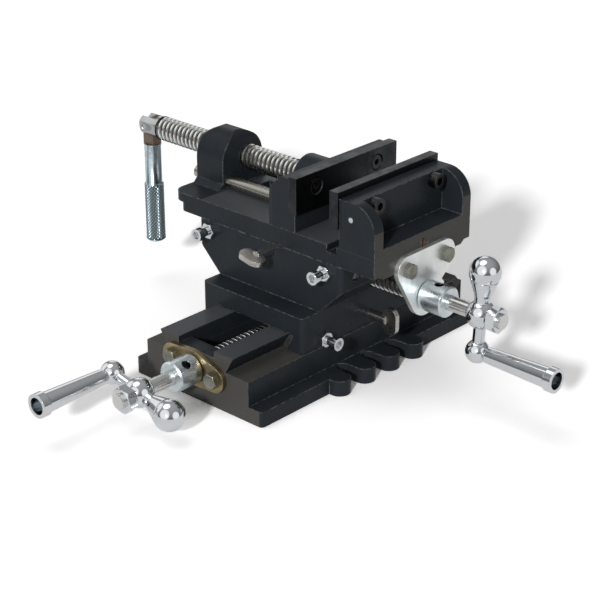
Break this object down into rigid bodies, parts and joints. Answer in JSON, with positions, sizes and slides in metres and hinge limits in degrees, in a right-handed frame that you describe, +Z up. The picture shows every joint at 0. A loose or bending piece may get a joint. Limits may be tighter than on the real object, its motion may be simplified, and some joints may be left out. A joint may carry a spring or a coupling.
{
  "type": "cross slide vise",
  "caption": "Drill press vise on two crossed dovetail slides, each fed by a ball crank, with a screw-driven sliding jaw, folding knurled handle and slotted base.",
  "frame": {"origin": "centre of the base's underside", "axes": "+X along the jaws' travel towards the fixed jaw, +Y along the base ways away from the lower crank, +Z up"},
  "size_m": [0.3751, 0.3306, 0.1425],
  "materials": {
    "cast_black": "semi-gloss black paint on a sand casting",
    "jaw_steel": "blackened ground steel",
    "zinc": "bright zinc plating",
    "gold_zinc": "yellow passivated zinc",
    "chrome": "polished chrome",
    "thread_steel": "bright rolled thread",
    "rod_steel": "ground, oiled",
    "bronze": "machined bronze",
    "dark_steel": "black oxide",
    "rusty_steel": "bare steel with a little rust"
  },
  "bodies": {
    "base": {"base_casting": "cast_black", "lower_bearing_plate": "gold_zinc", "lower_plate_bolts": "zinc"},
    "lower_crank": {"lower_lead_screw": "thread_steel", "lower_feed_collar": "zinc", "lower_crank_arm": "chrome", "lower_crank_nut": "chrome", "lower_grip_pin": "zinc"},
    "lower_handgrip": {"lower_grip": "chrome"},
    "saddle": {"saddle_casting": "cast_black", "lower_gib": "thread_steel", "lower_gib_screws": "zinc", "lower_gib_nuts": "zinc", "lower_feed_nut": "bronze", "upper_gib": "thread_steel", "upper_gib_screws": "zinc", "upper_gib_nuts": "zinc", "upper_feed_nut": "bronze"},
    "lower_lock": {"lower_lock_screw": "dark_steel"},
    "upper_lock": {"upper_lock_screw": "dark_steel"},
    "vise": {"vise_body": "cast_black", "fixed_jaw_plate": "jaw_steel", "fixed_jaw_screws": "dark_steel", "fixed_jaw_pin": "zinc", "front_screw": "rusty_steel", "upper_bearing_plate": "zinc", "upper_plate_bolts": "zinc"},
    "upper_crank": {"upper_lead_screw": "thread_steel", "upper_feed_collar": "zinc", "upper_collar_screw": "dark_steel", "upper_crank_arm": "chrome", "upper_crank_nut": "chrome", "upper_grip_pin": "zinc"},
    "upper_handgrip": {"upper_grip": "chrome"},
    "jaw": {"movable_jaw": "cast_black", "movable_jaw_plate": "jaw_steel", "movable_jaw_screws": "dark_steel", "guide_rod": "rod_steel", "jaw_keeper": "thread_steel", "jaw_keeper_screws": "dark_steel", "screw_retaining_pin": "thread_steel"},
    "clamping_screw": {"vise_screw": "thread_steel", "handle_pin": "zinc"},
    "folding_handle": {"vise_handle": "zinc"}
  },
  "joints": [
    {"name": "lower_crank_turn", "type": "hinge", "parent": "base", "child": "lower_crank", "pos_m": [0, -0.1596, 0.0245], "axis": [0, -1, 0], "range_deg": [-3601.8, 3241.8]},
    {"name": "lower_grip_spin", "type": "hinge", "parent": "lower_crank", "child": "lower_handgrip", "pos_m": [-0.0249, -0.1596, 0.03002], "axis": [0, -1, 0], "continuous": true},
    {"name": "saddle_travel", "type": "slide", "parent": "base", "child": "saddle", "axis": [0, 1, 0], "range_m": [-0.04, 0.036]},
    {"name": "lower_lock_turn", "type": "hinge", "parent": "saddle", "child": "lower_lock", "pos_m": [0.046, 0.0106, 0.0355], "axis": [1, 0, 0], "range_deg": [-90, 90]},
    {"name": "upper_lock_turn", "type": "hinge", "parent": "saddle", "child": "upper_lock", "pos_m": [0.003, -0.0409, 0.0861], "axis": [0, -1, 0], "range_deg": [-90, 90]},
    {"name": "vise_travel", "type": "slide", "parent": "saddle", "child": "vise", "axis": [1, 0, 0], "range_m": [-0.018, 0.04]},
    {"name": "upper_crank_turn", "type": "hinge", "parent": "vise", "child": "upper_crank", "pos_m": [0.1411, 0.0076, 0.0665], "axis": [1, 0, 0], "range_deg": [-1621.8, 3601.8]},
    {"name": "upper_grip_spin", "type": "hinge", "parent": "upper_crank", "child": "upper_handgrip", "pos_m": [0.1411, 0.00538, 0.0411], "axis": [1, 0, 0], "continuous": true},
    {"name": "jaw_travel", "type": "slide", "parent": "vise", "child": "jaw", "axis": [1, 0, 0], "range_m": [-0.052, 0.0284]},
    {"name": "vise_screw_turn", "type": "hinge", "parent": "jaw", "child": "clamping_screw", "pos_m": [-0.08, 0.0076, 0.1223], "axis": [1, 0, 0], "range_deg": [-4681.8, 2557.8]},
    {"name": "handle_fold", "type": "hinge", "parent": "clamping_screw", "child": "folding_handle", "pos_m": [-0.1635, 0.0076, 0.1223], "axis": [0, 1, 0], "range_deg": [0, 180]}
  ],
  "couplings": [
    {"joint": "lower_crank_turn", "follows": "saddle_travel", "rad_per_m": 1570.8},
    {"joint": "upper_crank_turn", "follows": "vise_travel", "rad_per_m": 1570.8},
    {"joint": "vise_screw_turn", "follows": "jaw_travel", "rad_per_m": 1570.8}
  ]
}
